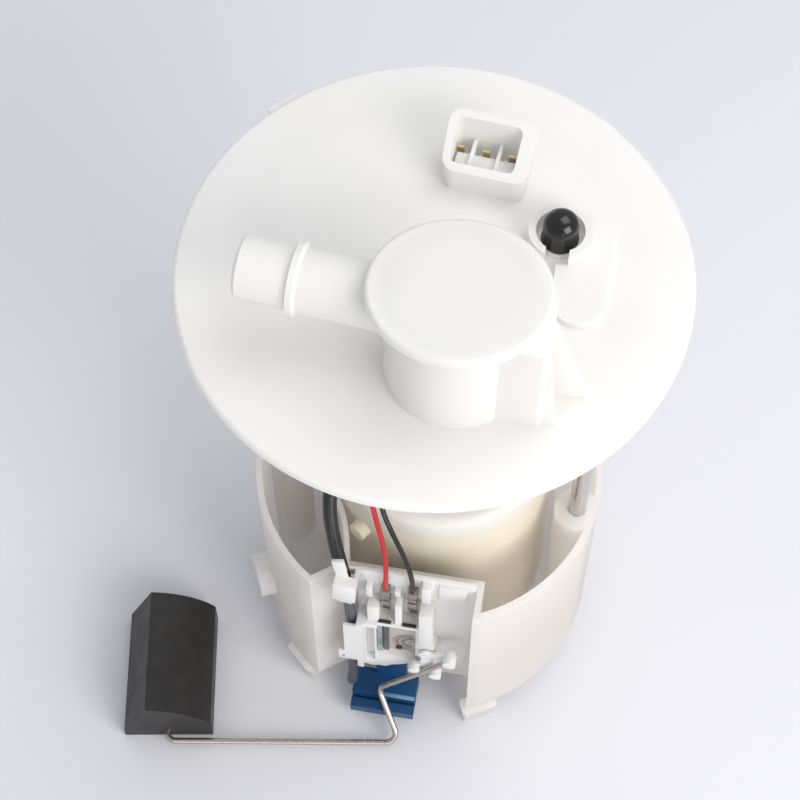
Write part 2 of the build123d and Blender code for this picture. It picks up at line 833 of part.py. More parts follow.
terminal_places = {"red": -7.4, "black": 2.8}
terminals = {}
for colour, place in terminal_places.items():
    with BuildPart() as terminal:
        with BuildSketch(Plane.XZ.offset(-housing_front)):
            with Locations((place, 88)):
                Rectangle(3.4, 18)
        extrude(amount=0.6)
    terminals[f"terminal_{colour}"] = terminal

# Float arm
holder_back = housing_front - 1.0 - soft_gap
with BuildPart() as arm_holder:
    with BuildSketch(Plane.XZ.offset(-holder_back)):
        with Locations((pivot_x, pivot_z)):
            Circle(4.8)
        with BuildLine():
            Line((pivot_x, pivot_z), (12.0, 46.5))
        trace(line_width=8)
        with BuildLine():
            Line((16.4, 56.4), (4.0, 38.5))
        trace(line_width=5)
    extrude(amount=wire_radius + 0.6)
    with BuildSketch(Plane.XZ.offset(-holder_back)):
        with Locations((pivot_x, pivot_z)):
            Circle(pivot_radius)
    extrude(amount=-4.5)

with BuildPart() as float_wire:
    float_dir = polar(1, 90 + float_turn)
    wire_corner = arm_points[-1]
    wire_end = tuple(wire_corner[i] + (float_ahead + float_set_in) * (*float_dir, 0)[i] for i in range(3))
    with BuildLine() as wire_route:
        FilletPolyline(*arm_points, wire_end, radius=arm_bends)
    with BuildSketch(Plane(origin=wire_route.line @ 0, z_dir=wire_route.line % 0)):
        Circle(wire_radius)
    sweep(path=wire_route.line)

float_front = tuple(wire_corner[i] + float_ahead * (*float_dir, 0)[i] for i in range(3))
with BuildPart() as float_block:
    with BuildSketch(upright(float_front[0], float_front[1], float_rest, float_turn)):
        with BuildLine():
            Polyline(
                (-7, float_height),
                (-float_width / 2, 5),
                (-float_width / 2, 0),
                (float_width / 2, 0),
                (float_width / 2, float_side),
            )
            ThreePointArc((float_width / 2, float_side), (8.0, 22.5), (-7, float_height))
        make_face()
    extrude(amount=-float_length)
    with BuildSketch(upright(float_front[0], float_front[1], wire_corner[2], float_turn)):
        Circle(wire_radius)
    extrude(amount=-(float_set_in + 0.2), mode=Mode.SUBTRACT)

# Jet pump
with BuildPart() as jet_pump:
    with BuildSketch(Plane.YZ.offset(jet_left)):
        with BuildLine():
            Polyline(
                (jet_back, jet_bottom),
                (jet_back, jet_top),
                (jet_front, jet_top),
                (jet_front, jet_step_top - 2),
                (jet_front - 1, jet_step_top - 2),
                (jet_front - 1, jet_step_top),
                (jet_step_front, jet_step_top),
                (jet_step_front, jet_bottom),
                close=True,
            )
        make_face()
    extrude(amount=jet_right - jet_left)
    with BuildSketch(Plane.XZ.offset(-jet_back)):
        with Locations((jet_spigot_x, (jet_bottom + jet_spigot_z + 6) / 2)):
            Rectangle(12, jet_spigot_z + 6 - jet_bottom)
    extrude(amount=2.5)
    with BuildSketch(Plane.XZ.offset(-jet_back)):
        with Locations((jet_spigot_x, jet_spigot_z)):
            Circle(jet_spigot_radius)
    extrude(amount=-6)

# Hoses and leads
hose_joint = Vector(-23.0, -51.4, 92.0)     # where the sleeve ends on the tube
sleeve_bend = Vector(-24.0, -50.0, 111.0)
joint_run = (hose_joint - sleeve_bend).normalized()
upper_route = [
    (regulator_x - 8.5, regulator_y - 9.5, 141.0),
    (-31.0, -31.0, 136.0),
    (-28.8, -41.5, 125.0),
    tuple(sleeve_bend),
    tuple(hose_joint),
]
upper_hose = held_tube(upper_route, sleeve_radius, tube_radius + seat_gap)
lower_route = [
    tuple(hose_joint - 7 * joint_run),
    tuple(hose_joint + 9 * joint_run),
    (-21.4, -51.8, 55.0),
    (-21.0, -52.5, 36.0),
    (-21.0, -56.0, 17.0),
]
lower_hose = held_tube(lower_route, tube_radius)

lead_start_y = housing_front - 0.6 - lead_radius - seat_gap
red_route = [
    (-7.4, lead_start_y, 92.0),
    (-7.4, lead_start_y, 99.0),
    (-7.6, -54.0, 112.0),
    (-10.0, -48.5, 131.0),
    (-12.0, -40.0, 152.0),
    (-9.0, -22.0, 180.0),
    (-1.0, 20.0, 205.0),
    (2.6, 41.0, 224.0),
]
black_route = [
    (2.8, lead_start_y, 92.0),
    (2.8, lead_start_y, 99.0),
    (2.0, -54.0, 112.0),
    (-2.0, -49.0, 131.0),
    (-5.0, -38.0, 152.0),
    (-2.0, -20.0, 178.0),
    (8.0, 20.0, 203.0),
    (11.1, 40.4, 224.0),
]
red_lead = held_tube(red_route, lead_radius)
black_lead = held_tube(black_route, lead_radius)

feed_route = [
    (lid_outlet_x, lid_outlet_y, canister_top + lid_thickness + 6),
    (lid_outlet_x, lid_outlet_y, 166.0),
    (outlet_x, outlet_y, 190.0),
    (outlet_x, outlet_y, flange_under - 4),
]
feed_hose = held_tube(feed_route, feed_radius, nipple_radius + seat_gap)

pieces = {
    "flange": flange,
    "turret_cap": turret_cap,
    "connector_pins": connector_pins,
    "dust_cap": dust_cap,
    "vent_cage": vent_cage,
    "vent_float": vent_float,
    "vent_seal": vent_seal,
    **guides,
    "reservoir_cup": reservoir_cup,
    "foot_valve": foot_valve,
    "filter_canister": filter_canister,
    "filter_element": filter_element,
    "canister_lid": canister_lid,
    "pump_case": pump_case,
    "pump_inlet_cover": pump_inlet_cover,
    "pump_chamber": pump_chamber,
    "pump_outlet_cover": pump_outlet_cover,
    "pump_magnets": pump_magnets,
    "impeller": impeller,
    "armature": armature,
    "commutator": commutator,
    "rotor_shaft": rotor_shaft,
    "brushes": brushes,
    "suction_strainer": suction_strainer,
    "pressure_regulator": pressure_regulator,
    "sender_bracket": sender_bracket,
    "sender_housing": sender_housing,
    "resistor_card": resistor_card,
    **terminals,
    "arm_holder": arm_holder,
    "float_wire": float_wire,
    "float_block": float_block,
    "jet_pump": jet_pump,
    "upper_hose": upper_hose,
    "lower_hose": lower_hose,
    "red_lead": red_lead,
    "black_lead": black_lead,
    "feed_hose": feed_hose,
}
for piece_name, piece in pieces.items():
    piece.part.label = piece_name
    export_step(piece.part, f"parts/{piece_name}.step")
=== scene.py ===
import math

import bmesh
import bpy
from mathutils import Matrix, Vector


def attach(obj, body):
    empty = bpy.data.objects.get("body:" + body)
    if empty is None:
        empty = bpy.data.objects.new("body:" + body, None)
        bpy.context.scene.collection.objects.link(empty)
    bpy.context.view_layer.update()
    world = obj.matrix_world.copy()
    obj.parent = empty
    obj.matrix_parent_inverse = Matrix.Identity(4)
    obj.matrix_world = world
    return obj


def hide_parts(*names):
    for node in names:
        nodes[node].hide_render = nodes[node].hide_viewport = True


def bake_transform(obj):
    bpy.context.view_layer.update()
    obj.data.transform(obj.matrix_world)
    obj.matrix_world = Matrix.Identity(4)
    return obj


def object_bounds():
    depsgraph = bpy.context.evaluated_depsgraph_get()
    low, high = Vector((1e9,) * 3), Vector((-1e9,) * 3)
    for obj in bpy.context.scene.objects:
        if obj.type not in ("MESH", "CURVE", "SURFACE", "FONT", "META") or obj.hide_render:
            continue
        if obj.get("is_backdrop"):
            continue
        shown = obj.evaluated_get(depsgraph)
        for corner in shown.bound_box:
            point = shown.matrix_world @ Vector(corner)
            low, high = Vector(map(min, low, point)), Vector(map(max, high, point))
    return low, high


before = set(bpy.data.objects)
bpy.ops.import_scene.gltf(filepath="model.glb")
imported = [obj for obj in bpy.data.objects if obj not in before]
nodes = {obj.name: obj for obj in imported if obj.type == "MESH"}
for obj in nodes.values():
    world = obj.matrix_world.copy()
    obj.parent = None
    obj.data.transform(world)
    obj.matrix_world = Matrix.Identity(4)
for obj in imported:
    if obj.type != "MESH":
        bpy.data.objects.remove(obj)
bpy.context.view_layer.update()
MM = 0.001

# Camera, fitted to the photograph
CAMERA_PLACE = Vector((48.4, -336.5, 765.9)) * MM
CAMERA_HEADING = 10.0      # degrees, turned left of +Y
CAMERA_DIP = 61.0          # degrees below the horizon
CAMERA_ROLL = 0.3
CAMERA_LENS = 90.0

camera_data = bpy.data.cameras.new("camera")
camera_data.lens = CAMERA_LENS
camera_data.sensor_width = 36.0
camera_data.clip_start = 0.01
camera = bpy.data.objects.new("camera", camera_data)
bpy.context.scene.collection.objects.link(camera)
camera.matrix_world = (
    Matrix.Translation(CAMERA_PLACE)
    @ Matrix.Rotation(math.radians(CAMERA_HEADING), 4, "Z")
    @ Matrix.Rotation(math.radians(90 - CAMERA_DIP), 4, "X")
    @ Matrix.Rotation(math.radians(-CAMERA_ROLL), 4, "Z")
)
bpy.context.scene.camera = camera
bpy.context.scene.view_settings.view_transform = "Standard"


# Materials

SOFT_DEPTH = 3 * MM     # how far light creeps under a soft plastic's skin


class Look:
    """A procedural material: a Principled shader and the nodes that feed it."""

    def __init__(self, name):
        self.material = bpy.data.materials.new(name)
        self.material.use_nodes = True
        self.tree = self.material.node_tree
        self.shader = self.tree.nodes["Principled BSDF"]
        self.place = self.tree.nodes.new("ShaderNodeTexCoord").outputs["Object"]

    def set(self, **values):
        """Numbers and colours that are the same all over go on the shader's own sockets."""
        for socket, value in values.items():
            self.shader.inputs[socket.replace("_", " ")].default_value = value
        return self

    def stretched(self, x, y, z):
        """The object's coordinates, drawn out along an axis."""
        node = self.tree.nodes.new("ShaderNodeMapping")
        node.inputs["Scale"].default_value = (x, y, z)
        self.tree.links.new(self.place, node.inputs["Vector"])
        return node.outputs["Vector"]

    def noise(self, scale, detail=2.0, place=None):
        node = self.tree.nodes.new("ShaderNodeTexNoise")
        node.inputs["Scale"].default_value = scale
        node.inputs["Detail"].default_value = detail
        self.tree.links.new(place or self.place, node.inputs["Vector"])
        return node.outputs["Fac"]

    def range(self, value, low, high, to_low=0.0, to_high=1.0):
        node = self.tree.nodes.new("ShaderNodeMapRange")
        node.inputs["From Min"].default_value = low
        node.inputs["From Max"].default_value = high
        node.inputs["To Min"].default_value = to_low
        node.inputs["To Max"].default_value = to_high
        self.tree.links.new(value, node.inputs["Value"])
        return node.outputs["Result"]

    def mix(self, share, one, other):
        node = self.tree.nodes.new("ShaderNodeMix")
        node.data_type = "RGBA"
        self.tree.links.new(share, node.inputs["Factor"])
        for socket, colour in zip([node.inputs[6], node.inputs[7]], [one, other]):
            if isinstance(colour, tuple):
                socket.default_value = (*colour, 1.0)
            else:
                self.tree.links.new(colour, socket)
        return node.outputs[2]

    def colour(self, socket):
        self.tree.links.new(socket, self.shader.inputs["Base Color"])
        return self

    def roughness(self, socket):
        self.tree.links.new(socket, self.shader.inputs["Roughness"])
        return self

    def let_through(self, share, colour):
        """A share of the light passes through the wall, as in unfilled acetal."""
        through = self.tree.nodes.new("ShaderNodeBsdfTranslucent")
        through.inputs["Color"].default_value = (*colour, 1.0)
        both = self.tree.nodes.new("ShaderNodeMixShader")
        both.inputs["Fac"].default_value = share
        self.tree.links.new(self.shader.outputs["BSDF"], both.inputs[1])
        self.tree.links.new(through.outputs["BSDF"], both.inputs[2])
        output = self.tree.nodes["Material Output"]
        self.tree.links.new(both.outputs["Shader"], output.inputs["Surface"])

    def bump(self, *layers):
        """Height layers, each (value, depth in metres), one on the other."""
        normal = None
        for value, depth in layers:
            node = self.tree.nodes.new("ShaderNodeBump")
            node.inputs["Strength"].default_value = 1.0
            node.inputs["Distance"].default_value = depth
            self.tree.links.new(value, node.inputs["Height"])
            if normal:
                self.tree.links.new(normal, node.inputs["Normal"])
            normal = node.outputs["Normal"]
        self.tree.links.new(normal, self.shader.inputs["Normal"])
        return self


def moulded(name, light, dark, rough, soft=0.0, grain=0.00002, glow=0.0):
    """Moulded plastic: cloudy colour, sink marks and a fine skin. glow lets light through its walls."""
    look = Look(name)
    cloud = look.noise(28, 3)
    skin = look.noise(2600, 2)
    look.colour(look.mix(look.range(cloud, 0.35, 0.65), dark, light))
    look.roughness(look.range(look.noise(90, 4), 0.3, 0.7, *rough))
    look.bump((look.noise(45, 1), 0.00012), (skin, grain))
    look.set(Subsurface_Weight=soft, Subsurface_Radius=(1.0, 0.85, 0.7), Subsurface_Scale=SOFT_DEPTH)
    look.set(IOR=1.48)
    if glow:
        look.let_through(glow, light)
    return look.material


def metal(name, light, dark, rough=(0.18, 0.34), along=(1, 1, 1), grain=0.00001):
    """Drawn or plated metal with fine lines along one axis."""
    look = Look(name)
    lines = look.noise(1800, 3, look.stretched(*along))
    look.colour(look.mix(look.range(lines, 0.3, 0.7), dark, light))
    look.roughness(look.range(look.noise(160, 4), 0.3, 0.7, *rough))
    look.bump((lines, grain))
    look.set(Metallic=1.0)
    return look.material


def rubber(name, light, dark, rough=(0.3, 0.45), grain=0.00003):
    """Rubber, foam or carbon: dark, with a fine uneven skin."""
    look = Look(name)
    look.colour(look.mix(look.range(look.noise(220, 4), 0.35, 0.7), dark, light))
    look.roughness(look.range(look.noise(120, 3), 0.3, 0.7, *rough))
    look.bump((look.noise(1500, 3), grain))
    look.set(IOR=1.5)
    return look.material


white = moulded("white_plastic", (0.945, 0.935, 0.915), (0.925, 0.915, 0.89), (0.34, 0.46), glow=0.32)
clip_white = moulded("clip_plastic", (0.87, 0.86, 0.84), (0.83, 0.82, 0.80), (0.3, 0.42), glow=0.15)
cup_white = moulded("cup_plastic", (0.95, 0.935, 0.915), (0.93, 0.91, 0.89), (0.36, 0.5), glow=0.62)
lid_white = moulded("lid_plastic", (0.95, 0.93, 0.87), (0.93, 0.905, 0.84), (0.36, 0.5), glow=0.30)
cream = moulded("cream_plastic", (0.96, 0.90, 0.78), (0.94, 0.87, 0.73), (0.4, 0.55), glow=0.30)
blue = moulded("blue_plastic", (0.008, 0.072, 0.19), (0.005, 0.050, 0.145), (0.32, 0.46))
# Pale blue for the painted highlight along the jet pump's front top edge
blue_edge_highlight = moulded("blue_edge_highlight", (0.20, 0.33, 0.44), (0.14, 0.26, 0.38), (0.4, 0.55))
steel = metal("drawn_steel", (0.66, 0.65, 0.62), (0.57, 0.55, 0.53), (0.22, 0.34), along=(1, 1,
              0.02), grain=0.000004)
wire_steel = metal("wire_steel", (0.62, 0.57, 0.52), (0.42, 0.37, 0.33), (0.2, 0.36))
zinc = metal("zinc_steel", (0.66, 0.66, 0.64), (0.52, 0.52, 0.50), (0.25, 0.42), along=(1, 1, 0.05))
brass = metal("contact_brass", (0.72, 0.60, 0.34), (0.58, 0.46, 0.24), (0.25, 0.4))
tin = metal("tinned_steel", (0.50, 0.46, 0.41), (0.24, 0.21, 0.19), (0.18, 0.36))
iron = metal("core_iron", (0.30, 0.27, 0.24), (0.18, 0.16, 0.14), (0.4, 0.6), along=(1, 1, 14))
ferrite = rubber("ferrite", (0.09, 0.09, 0.09), (0.05, 0.05, 0.05), (0.55, 0.75))
black_gloss = rubber("cap_rubber", (0.012, 0.012, 0.012), (0.007, 0.007, 0.007), (0.10, 0.18), 0.000008)
foam = rubber("float_foam", (0.019, 0.017, 0.016), (0.012, 0.011, 0.010), (0.42, 0.55), 0.00003)
hose_grey = rubber("hose_grey", (0.075, 0.082, 0.095), (0.05, 0.055, 0.065))
hose_black = rubber("hose_black", (0.018, 0.018, 0.018), (0.009, 0.009, 0.009), (0.25, 0.4))
seal = rubber("seal_rubber", (0.03, 0.03, 0.03), (0.02, 0.02, 0.02), (0.5, 0.65))
lead_red = rubber("lead_red", (0.56, 0.018, 0.022), (0.44, 0.012, 0.016), (0.28, 0.4))
lead_black = rubber("lead_black", (0.010, 0.010, 0.010), (0.005, 0.005, 0.005), (0.22, 0.34))
nylon = moulded("feed_nylon", (0.70, 0.67, 0.58), (0.64, 0.60, 0.51), (0.3, 0.42), soft=0.3)
card = moulded("card_ceramic", (0.52, 0.47, 0.42), (0.44, 0.40, 0.36), (0.2, 0.3))
carbon = rubber("carbon", (0.03, 0.03, 0.03), (0.018, 0.018, 0.018), (0.5, 0.7))
resin = moulded("impeller_resin", (0.10, 0.085, 0.07), (0.07, 0.06, 0.05), (0.4, 0.55))
paper = moulded("filter_paper", (0.72, 0.62, 0.40), (0.62, 0.52, 0.32), (0.8, 0.95), grain=0.00006)
mesh_cloth = moulded("strainer_mesh", (0.80, 0.80, 0.76), (0.70, 0.70, 0.66), (0.7, 0.9), grain=0.00006)

finishes = {
    white: ["flange", "turret_cap", "vent_cage", "rod_bush_left", "rod_bush_right", "pump_inlet_cover",
            "pump_chamber", "pump_outlet_cover"],
    clip_white: ["sender_bracket", "sender_housing", "arm_holder"],
    cup_white: ["reservoir_cup"],
    cream: ["filter_canister", "vent_float", "pressure_regulator"],
    lid_white: ["canister_lid"],
    blue: ["jet_pump"],
    steel: ["guide_rod_left", "guide_rod_right", "spring_left", "spring_right", "rotor_shaft"],
    wire_steel: ["float_wire"],
    zinc: ["pump_case"],
    brass: ["connector_pins", "commutator"],
    tin: ["terminal_red", "terminal_black"],
    iron: ["armature"],
    ferrite: ["pump_magnets"],
    black_gloss: ["dust_cap"],
    foam: ["float_block"],
    hose_grey: ["lower_hose"],
    hose_black: ["upper_hose"],
    seal: ["vent_seal", "foot_valve"],
    lead_red: ["red_lead"],
    lead_black: ["black_lead"],
    nylon: ["feed_hose"],
    card: ["resistor_card"],
    carbon: ["brushes"],
    resin: ["impeller"],
    paper: ["filter_element"],
    mesh_cloth: ["suction_strainer"],
}
for material, names in finishes.items():
    for name in names:
        nodes[name].data.materials.clear()
        nodes[name].data.materials.append(material)


# Springs, leads and hoses, most of which stretch between the flange and the cup as it slides on its rods


def smooth_line(points):
    """Points along the NURBS spline that the route's points control."""
    curve = bpy.data.curves.new("route", "CURVE")
    curve.dimensions = "3D"
    curve.resolution_u = 16
    spline = curve.splines.new("NURBS")
    spline.points.add(len(points) - 1)
    for knot, point in zip(spline.points, points):
        knot.co = (*(Vector(point) * MM), 1)
    spline.order_u = 3
    spline.use_endpoint_u = True
    holder = bpy.data.objects.new("route", curve)
    line = bpy.data.meshes.new_from_object(holder)
    places = [corner.co.copy() for corner in line.vertices]
    bpy.data.objects.remove(holder)
    return places


def placed(name, mesh):
    """A mesh as an object in the scene."""
    piece = bpy.data.objects.new(name, mesh)
    bpy.context.scene.collection.objects.link(piece)
    return piece


def wrap(form, rings):
    """Faces from ring to ring, and a cap on either end."""
    sides = len(rings[0])
    for first, second in zip(rings, rings[1:]):
        for side in range(sides):
            after = (side + 1) % sides
            form.faces.new((first[side], first[after], second[after], second[side]))
    form.faces.new(list(reversed(rings[0])))
    form.faces.new(rings[-1])


def swept(name, line, radius, material, sides=20):
    """A round bar along a line. radius is a number or a function of the distance along it."""
    mesh = bpy.data.meshes.new(name)
    form = bmesh.new()
    across = None
    travelled = 0.0
    rings = []
    for step, here in enumerate(line):
        after = line[min(step + 1, len(line) - 1)]
        before = line[max(step - 1, 0)]
        along = (after - before).normalized()
        if across is None:
            across = along.orthogonal().normalized()
        across = (across - along * across.dot(along)).normalized()
        other = along.cross(across)
        if step:
            travelled += (here - line[step - 1]).length
        reach = radius(travelled) if callable(radius) else radius
        ring = []
        for side in range(sides):
            turn = 2 * math.pi * side / sides
            ring.append(form.verts.new(here + (across * math.cos(turn) + other * math.sin(turn)) * reach))
        rings.append(ring)
    wrap(form, rings)
    form.normal_update()
    for face in form.faces:
        face.smooth = len(face.verts) == 4
    form.to_mesh(mesh)
    form.free()
    mesh.materials.append(material)
    return placed(name, mesh)


def stretching(piece, node):
    """The part's own node is hidden, and the piece's place is baked into its mesh."""
    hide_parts(node)
    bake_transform(piece)


ROD_CIRCLE = 57.3
ROD_ANGLE = -8.8
SPRING_RADIUS = 3.9
SPRING_WIRE = 0.55
SPRING_LOW = 19.2
SPRING_HIGH = 93.2
SPRING_TURNS = 13
for side, angle in {"left": ROD_ANGLE + 180, "right": ROD_ANGLE}.items():
    rod_x = ROD_CIRCLE * math.cos(math.radians(angle))
    rod_y = ROD_CIRCLE * math.sin(math.radians(angle))
    coil = []
    steps = SPRING_TURNS * 24
    for step in range(steps + 1):
        turn = 2 * math.pi * step / 24
        height = SPRING_LOW + (SPRING_HIGH - SPRING_LOW) * step / steps
        across = SPRING_RADIUS * math.cos(turn)
        along = SPRING_RADIUS * math.sin(turn)
        coil.append(Vector((rod_x + across, rod_y + along, height)) * MM)
    spring = swept(f"coil_{side}", coil, SPRING_WIRE * MM, steel, 10)
    stretching(
        spring, f"spring_{side}",
    )

RED_ROUTE = [
    (-7.9, -49.9, 86.0), (-7.9, -49.9, 100.0), (-7.6, -49.3, 110.0), (-8.6, -45.2, 121.0),
    (-13.6, -39.2, 138.0), (-17.6, -30.5, 151.0), (-17.6, -20.0, 164.0), (-14.0, -7.0, 176.5),
    (-9.5, 6.0, 188.0), (-4.5, 18.5, 199.0), (0.0, 30.5, 208.5), (2.6, 39.0, 216.0), (2.6, 41.0, 224.0),
]
BLACK_ROUTE = [
    (2.2, -49.9, 87.0), (2.2, -49.9, 101.0), (1.6, -49.4, 111.0), (-1.1, -47.0, 120.0),
    (-5.9, -43.4, 130.0), (-10.6, -38.6, 138.0), (-14.0, -30.8, 147.5), (-12.5, -20.0, 160.0),
    (-8.0, -6.0, 173.0), (-2.0, 8.0, 186.0), (4.5, 21.0, 198.0), (9.4, 32.0, 208.0),
    (11.1, 38.4, 216.0), (11.1, 40.4, 224.0),
]
FEED_ROUTE = [(22.0, 20.0, 140.0), (22.0, 20.0, 161.0), (37.5, 17.5, 198.0), (37.5, 17.5, 221.0)]
SLEEVE_ROUTE = [
    (-25.5, -20.5, 141.0), (-30.0, -26.5, 139.0), (-30.6, -35.0, 131.5), (-27.6, -43.5, 121.0),
    (-23.9, -49.6, 111.0), (-21.9, -51.4, 99.0), (-21.4, -51.6, 90.0),
]
TUBE_ROUTE = [
    (-21.7, -51.5, 96.0), (-21.1, -51.7, 84.0), (-20.5, -52.0, 62.0), (-20.4, -52.3, 44.0),
    (-20.5, -53.0, 29.0), (-20.8, -56.0, 17.0),
]
LEAD_RADIUS = 0.95
FEED_RADIUS = 5.0
RIB_START, RIB_END = 10, 72       # along the feed hose
RIB_PITCH = 3.0
RIB_DEPTH = 0.45
SLEEVE_RADIUS = 2.55
TUBE_RADIUS = 2.1


def rib_height(distance):
    """Rings of the corrugated feed hose, with plain ends over the nipples."""
    place = distance / MM
    if place < RIB_START or place > RIB_END:
        return FEED_RADIUS * MM
    return (FEED_RADIUS - RIB_DEPTH + RIB_DEPTH * math.cos(2 * math.pi * place / RIB_PITCH)) * MM


def finer(line, step):
    """The same line with points every step."""
    points = [line[0]]
    for before, after in zip(line, line[1:]):
        count = max(1, round((after - before).length / step))
        points += [before.lerp(after, share / count) for share in range(1, count + 1)]
    return points


red_bent = swept("lead_red_bent", smooth_line(RED_ROUTE), LEAD_RADIUS * MM, lead_red, 16)
stretching(red_bent, "red_lead")
black_bent = swept("lead_black_bent", smooth_line(BLACK_ROUTE), LEAD_RADIUS * MM, lead_black, 16)
stretching(black_bent, "black_lead")
feed = swept("feed_hose_ribbed", finer(smooth_line(FEED_ROUTE), 0.4 * MM), rib_height, nylon, 28)
stretching(feed, "feed_hose")

# Hoses that stay with the cup
for name, node, route, radius, slot_name, material in (
    ("return_sleeve", "upper_hose", SLEEVE_ROUTE, SLEEVE_RADIUS, "hose_black", hose_black),
    ("jet_tube", "lower_hose", TUBE_ROUTE, TUBE_RADIUS, "hose_grey", hose_grey),
):
    hose = swept(name, smooth_line(route), radius * MM, material, 28)
    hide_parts(node)
    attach(hose, "reservoir")


# Moulded pieces in finer detail than their solids. Outlines are in X and Z, in millimetres


def prism(outline, back, front):
    """A closed block between two upright planes, from Y = back to Y = front."""
    form = bmesh.new()
    far = [form.verts.new((x * MM, back * MM, z * MM)) for x, z in outline]
    near = [form.verts.new((x * MM, front * MM, z * MM)) for x, z in outline]
    form.faces.new(near)
    form.faces.new(list(reversed(far)))
    for corner in range(len(outline)):
        after = (corner + 1) % len(outline)
        form.faces.new((near[corner], near[after], far[after], far[corner]))
    bmesh.ops.recalc_face_normals(form, faces=form.faces)
    mesh = bpy.data.meshes.new("block")
    form.to_mesh(mesh)
    form.free()
    return mesh


def box_outline(left, right, low, high):
    return [(left, low), (right, low), (right, high), (left, high)]


def round_outline(x, z, wide, tall=None, count=28):
    turns = [2 * math.pi * step / count for step in range(count)]
    return [(x + wide * math.cos(turn), z + (tall or wide) * math.sin(turn)) for turn in turns]


def arc_outline(x, z, inner, outer, start, end, count=18):
    turns = [math.radians(start + (end - start) * step / count) for step in range(count + 1)]
    far = [(x + outer * math.cos(turn), z + outer * math.sin(turn)) for turn in turns]
    near = [(x + inner * math.cos(turn), z + inner * math.sin(turn)) for turn in reversed(turns)]
    return far + near


def settle(piece, body, material):
    """The piece gets its material, and moves with the body."""
    piece.data.materials.clear()
    piece.data.materials.append(material)
    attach(piece, body)
    return piece


def moulding(name, blocks, cuts, edge):
    """Blocks joined into one, less the cuts, with every edge rounded off."""
    piece = placed(name, blocks[0])
    helpers = []
    for operation, meshes in (("UNION", blocks[1:]), ("DIFFERENCE", cuts)):
        for mesh in meshes:
            helper = placed("helper", mesh)
            helpers.append(helper)
            step = piece.modifiers.new(operation.lower(), "BOOLEAN")
            step.operation = operation
            step.object = helper
            step.solver = "EXACT"
    if edge:
        rounding = piece.modifiers.new("edge", "BEVEL")
        rounding.width = edge * MM
        rounding.segments = 2
        rounding.limit_method = "ANGLE"
        rounding.angle_limit = math.radians(40)
    bpy.context.view_layer.update()
    finished = bpy.data.meshes.new_from_object(piece.evaluated_get(bpy.context.evaluated_depsgraph_get()))
    piece.modifiers.clear()
    piece.data = finished
    finished.polygons.foreach_set("use_smooth", [True] * len(finished.polygons))
    finished.set_sharp_from_angle(angle=math.radians(38))
    for helper in helpers:
        bpy.data.objects.remove(helper)
    return piece


PLATE = -47.7          # front face of the sender's plate
FRONT = -53.7          # front face of the sender's frame
CARD = -50.3           # front face of the card

plate = moulding(
    "sender_plate",
    [
        prism(box_outline(-18.8, 25.1, 27.0, 106.0), PLATE + 1.9, PLATE),
        prism(box_outline(5.5, 9.1, 92.5, 105.0), PLATE + 1, -51.2),
        prism(box_outline(11.6, 21.8, 93.4, 104.5), PLATE + 1, -49.0),
        prism(box_outline(-15.2, -12.6, 89.5, 98.5), PLATE + 1, -50.6),
        prism(box_outline(-4.6, -2.2, 92.0, 97.0), PLATE + 1, -50.2),
    ],
    [], 0.45,
)
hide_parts("sender_bracket")
settle(plate, "reservoir", clip_white)

frame_outline = [
    (-18.3, 32.0), (-12.8, 30.4), (-10.4, 31.6), (-7.8, 31.4), (-5.4, 34.0), (-0.5, 36.6),
    (3.9, 41.6), (10.4, 45.0), (10.4, 74.4), (-18.3, 74.4),
]
sender_frame = moulding(
    "sender_frame",
    [
        prism(frame_outline, PLATE, FRONT),
        prism(box_outline(-18.3, -15.9, 33.0, 74.4), PLATE, -56.1),
        prism(box_outline(-14.2, -9.9, 72.0, 87.5), PLATE, -53.4),
        prism(box_outline(-3.8, -1.4, 72.0, 91.5), PLATE, -53.4),
        prism(box_outline(5.3, 10.2, 58.5, 89.5), PLATE, -55.0),
        prism(box_outline(-18.0, -10.4, 71.6, 74.4), PLATE, -55.2),
        prism(box_outline(-23.2, -16.2, 44.0, 72.5), -54.9, -56.1),
        prism(box_outline(-25.6, -16.2, 39.2, 46.8), -54.9, -56.1),
        prism(round_outline(8.5, 55.0, 3.4), PLATE, -54.6),
    ],
    [
        prism(box_outline(-11.2, 4.0, 42.5, 71.5), CARD + 0.85, -60.0),
        prism(box_outline(-15.2, -11.8, 36.0, 70.0), -50.6, -60.0),
    ],
    0.3,
)
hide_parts("sender_housing")
settle(sender_frame, "reservoir", clip_white)

clip_dark = rubber("clip_dark", (0.030, 0.028, 0.026), (0.018, 0.017, 0.016), (0.25, 0.4))
ink = moulded("track_ink", (0.20, 0.19, 0.19), (0.15, 0.14, 0.14), (0.3, 0.4))
strip_blue = metal("strip_blue", (0.52, 0.60, 0.64), (0.42, 0.49, 0.53), (0.2, 0.34), along=(1, 1, 0.05))
strip_dark = metal("strip_dark", (0.24, 0.24, 0.25), (0.14, 0.14, 0.15), (0.25, 0.4), along=(1, 1, 0.05))
rivet_red = metal("rivet_red", (0.30, 0.06, 0.045), (0.18, 0.03, 0.025), (0.25, 0.4))
marker = moulded("marker_dot", (0.16, 0.14, 0.52), (0.10, 0.09, 0.40), (0.4, 0.5))

